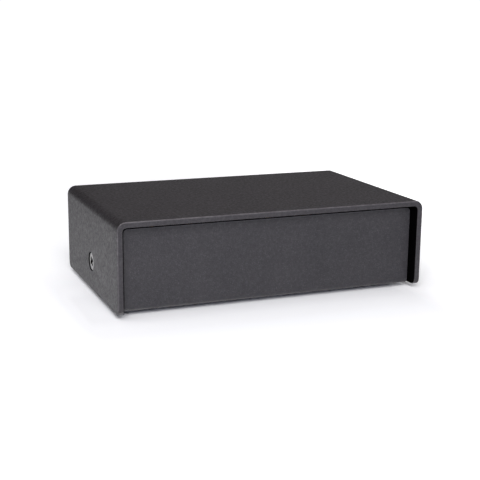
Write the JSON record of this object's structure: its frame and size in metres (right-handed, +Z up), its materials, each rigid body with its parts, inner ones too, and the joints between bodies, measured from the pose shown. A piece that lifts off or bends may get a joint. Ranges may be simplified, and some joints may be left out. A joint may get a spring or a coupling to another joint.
{
  "type": "phono preamp",
  "caption": "Small phono preamp in a two-piece bent metal case, with phono input and output jacks, a ground terminal, a gain slide switch and a DC power jack at the rear.",
  "frame": {"origin": "on the surface it stands on, at the middle of the overall width and depth, rear connectors included", "axes": "+X to the right seen from the blank front panel, +Y to the rear, where the connectors are, +Z up"},
  "size_m": [0.107, 0.0746, 0.031],
  "materials": {
    "cover_coat": "matte",
    "tray_coat": "matte",
    "steel": "satin",
    "rubber": "matte",
    "board": "satin",
    "moulding": "matte",
    "nickel": "gloss",
    "white_insulator": "satin",
    "red_insulator": "satin",
    "spring_brass": "satin",
    "ground_brass": "gloss",
    "phenolic": "satin",
    "wire_jacket": "satin",
    "film_case": "satin",
    "can": "satin",
    "ferrite": "matte",
    "chip_epoxy": "matte",
    "resistor_film": "satin"
  },
  "bodies": {
    "case": {"top_cover": "cover_coat", "chassis_tray": "tray_coat", "cover_screws": "steel", "press_nuts": "steel", "foot_front_left": "rubber", "foot_front_right": "rubber", "foot_rear_left": "rubber", "foot_rear_right": "rubber", "circuit_board": "board", "board_standoffs": "steel", "board_screws": "steel", "input_jack_block": "moulding", "output_jack_block": "moulding", "input_shell_left": "nickel", "input_shell_right": "nickel", "output_shell_left": "nickel", "output_shell_right": "nickel", "input_insulator_left": "white_insulator", "output_insulator_left": "white_insulator", "input_insulator_right": "red_insulator", "output_insulator_right": "red_insulator", "input_contact_left": "spring_brass", "input_contact_right": "spring_brass", "output_contact_left": "spring_brass", "output_contact_right": "spring_brass", "power_jack_body": "moulding", "power_jack_pin": "nickel", "power_jack_spring": "spring_brass", "ground_post": "ground_brass", "ground_bushing": "moulding", "ground_inner_washer": "moulding", "ground_lug": "nickel", "ground_lock_nut": "nickel", "ground_wire": "wire_jacket", "gain_switch_frame": "steel", "gain_switch_base": "phenolic", "gain_switch_terminals": "nickel", "amplifier_chip_left": "chip_epoxy", "amplifier_chip_right": "chip_epoxy", "film_capacitor_left_1": "film_case", "film_capacitor_left_2": "film_case", "film_capacitor_right_1": "film_case", "film_capacitor_right_2": "film_case", "coupling_capacitor_left": "can", "coupling_capacitor_right": "can", "supply_capacitor_1": "can", "supply_capacitor_2": "can", "inductor": "ferrite", "voltage_regulator": "chip_epoxy", "input_diode": "chip_epoxy", "resistor_left_1": "resistor_film", "resistor_left_2": "resistor_film", "resistor_right_1": "resistor_film", "resistor_right_2": "resistor_film"},
    "ground_washer": {"ground_washer": "ground_brass"},
    "ground_thumb_nut": {"ground_thumb_nut": "ground_brass"},
    "gain_slider": {"gain_switch_slider": "moulding", "gain_switch_wiper": "spring_brass"}
  },
  "joints": [
    {"name": "ground_washer_slide", "type": "slide", "parent": "case", "child": "ground_washer", "axis": [0, 1, 0], "range_m": [0, 0.0021]},
    {"name": "ground_nut_turn", "type": "hinge", "parent": "ground_washer", "child": "ground_thumb_nut", "pos_m": [0.0435, 0.03155, 0.0168], "axis": [0, 1, 0], "range_deg": [0, 1080]},
    {"name": "gain_switch_slide", "type": "slide", "parent": "case", "child": "gain_slider", "axis": [1, 0, 0], "range_m": [0, 0.004]}
  ],
  "couplings": [
    {"joint": "ground_nut_turn", "follows": "ground_washer_slide", "rad_per_m": 8976}
  ]
}
